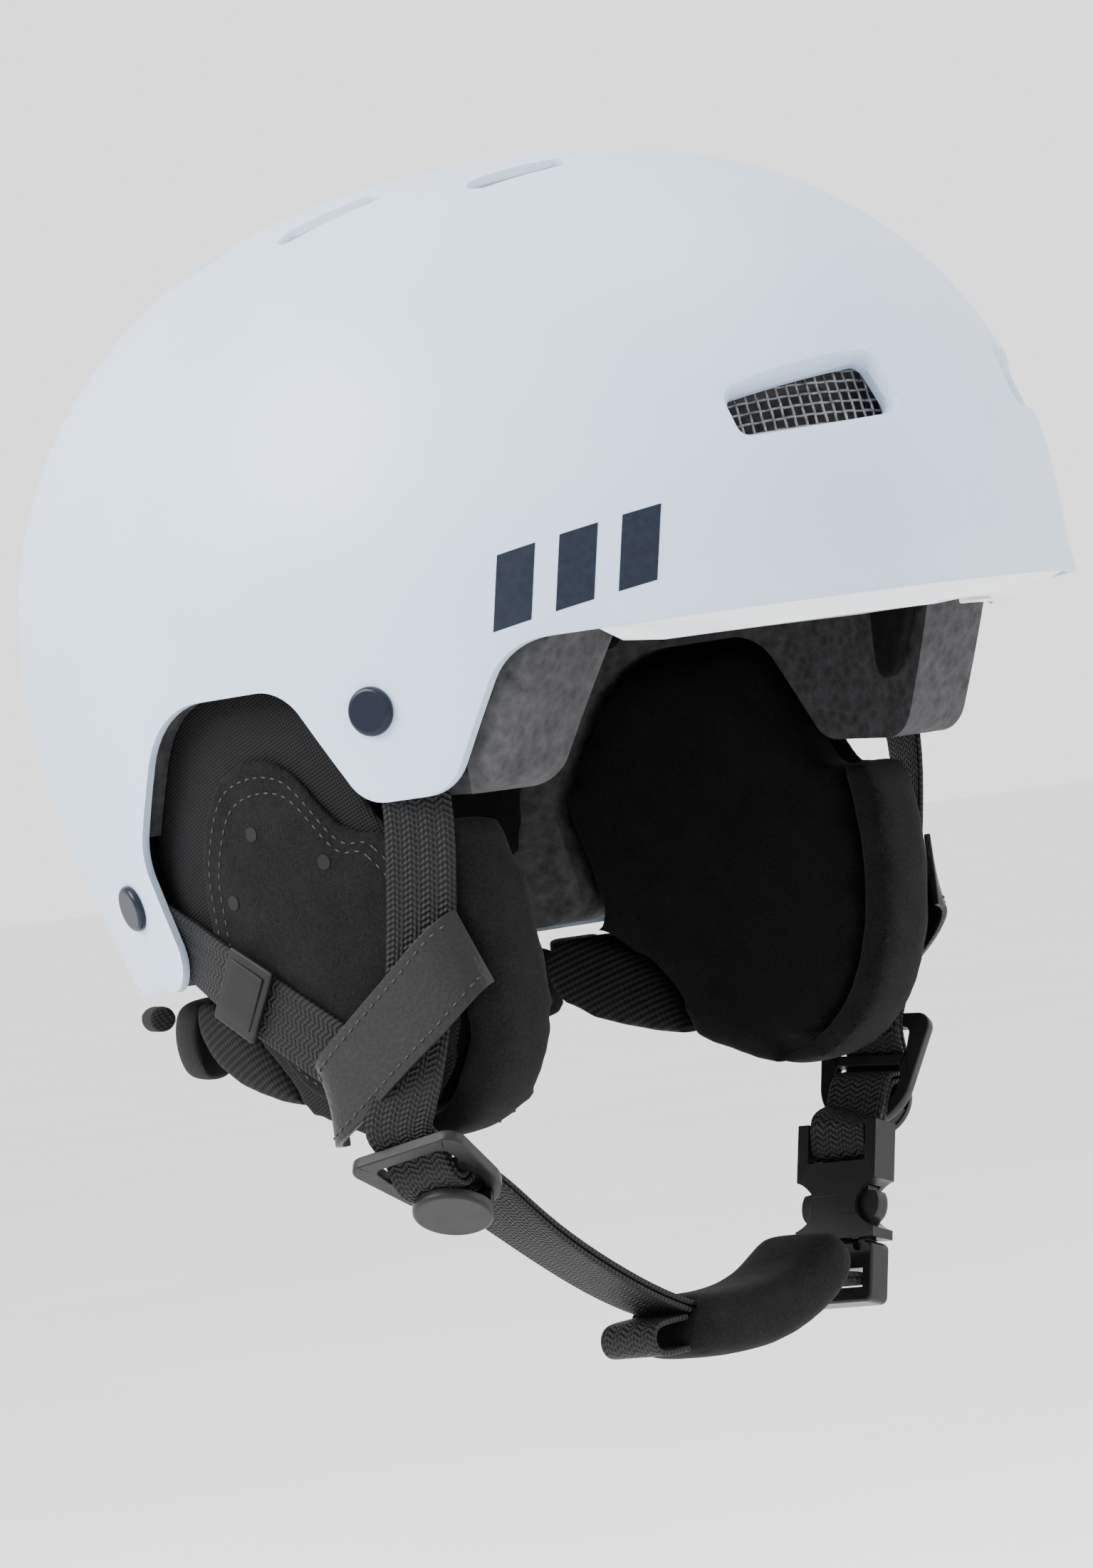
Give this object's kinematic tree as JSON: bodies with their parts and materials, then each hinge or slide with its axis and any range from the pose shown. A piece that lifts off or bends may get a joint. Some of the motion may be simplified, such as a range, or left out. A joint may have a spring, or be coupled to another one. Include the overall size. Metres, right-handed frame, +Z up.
{
  "type": "ski helmet",
  "caption": "Snow-sports helmet shell with brim, vents, padded lining, soft ear pads and a webbing chin strap closed by a side-release buckle.",
  "frame": {"origin": "middle of the wearer's head at the hat-size band, inside the shell", "axes": "+Z up through the crown, -Y towards the wearer's face, -X to the wearer's right, +X to the wearer's left, where the buckle is"},
  "size_m": [0.2252, 0.2918, 0.3087],
  "materials": {
    "brim": "glossy white",
    "buckle": "satin moulded",
    "divider": "fine matte",
    "ear_foam": "soft foam with cloth lining",
    "fleece": "short fleece",
    "foam": "moulded expanded foam beads",
    "holder": "grained leather, stitched edges",
    "knit": "ribbed knit",
    "label": "moulded rubber",
    "lining": "brushed knit",
    "mesh": "woven black wire",
    "rivet": "glossy dark blue-black",
    "scoop": "fine matte",
    "shell": "satin pale blue-white lacquer",
    "washer": "plain",
    "webbing": "chevron woven webbing",
    "woven": "woven cloth"
  },
  "bodies": {
    "helmet": {"air_scoop": "scoop", "brim_underside": "brim", "brow_pad": "lining", "buckle_female": "buckle", "crown_pad": "lining", "divider_cap_left": "divider", "ear_knit_left": "knit", "ear_knit_right": "knit", "ear_pad_left": "ear_foam", "ear_pad_right": "ear_foam", "ear_panel_left": "woven", "ear_panel_right": "woven", "ear_patch_left": "fleece", "ear_patch_right": "fleece", "ear_roll_left": "fleece", "ear_roll_right": "fleece", "foam_liner": "foam", "front_strap_left": "webbing", "front_strap_right": "webbing", "front_vent_mesh_left": "mesh", "front_vent_mesh_right": "mesh", "left_buckle_loop": "webbing", "neck_roll": "fleece", "pad_loop_left": "woven", "pad_loop_right": "woven", "rear_pad": "lining", "rear_strap_left": "webbing", "rear_strap_right": "webbing", "rivet_caps": "rivet", "rivet_washers": "washer", "shell": "shell", "side_pad_left": "lining", "side_pad_right": "lining", "strap_divider_left": "divider", "strap_fold_left": "webbing", "strap_holder_left": "holder", "strap_holder_right": "holder", "strap_label_left": "label", "strap_label_right": "label"},
    "chin_strap": {"strap_divider_right": "divider", "divider_cap_right": "divider", "strap_fold_right": "webbing", "chin_webbing": "webbing", "chin_pad": "fleece", "webbing_tail": "webbing", "buckle_male": "buckle"},
    "prong_front": {"buckle_prong_front": "buckle"},
    "prong_rear": {"buckle_prong_rear": "buckle"}
  },
  "joints": [
    {"name": "chin_strap_open", "type": "hinge", "parent": "helmet", "child": "chin_strap", "pos_m": [-0.1048, -0.013, -0.0985], "axis": [0, 1, 0], "range_deg": [0, 60], "deforming": ["buckle_prong_front", "buckle_prong_rear"]},
    {"name": "prong_front_squeeze", "type": "hinge", "parent": "chin_strap", "child": "prong_front", "pos_m": [0.07104, -0.0206, -0.15253], "axis": [-0.9583, 0, 0.2857], "range_deg": [0, 8], "stiffness_Nm_per_rad": 0.2},
    {"name": "prong_rear_squeeze", "type": "hinge", "parent": "chin_strap", "child": "prong_rear", "pos_m": [0.07104, -0.0054, -0.15253], "axis": [0.9583, 0, -0.2857], "range_deg": [0, 8], "stiffness_Nm_per_rad": 0.2}
  ],
  "couplings": [
    {"joint": "prong_rear_squeeze", "follows": "prong_front_squeeze", "ratio": 1}
  ]
}
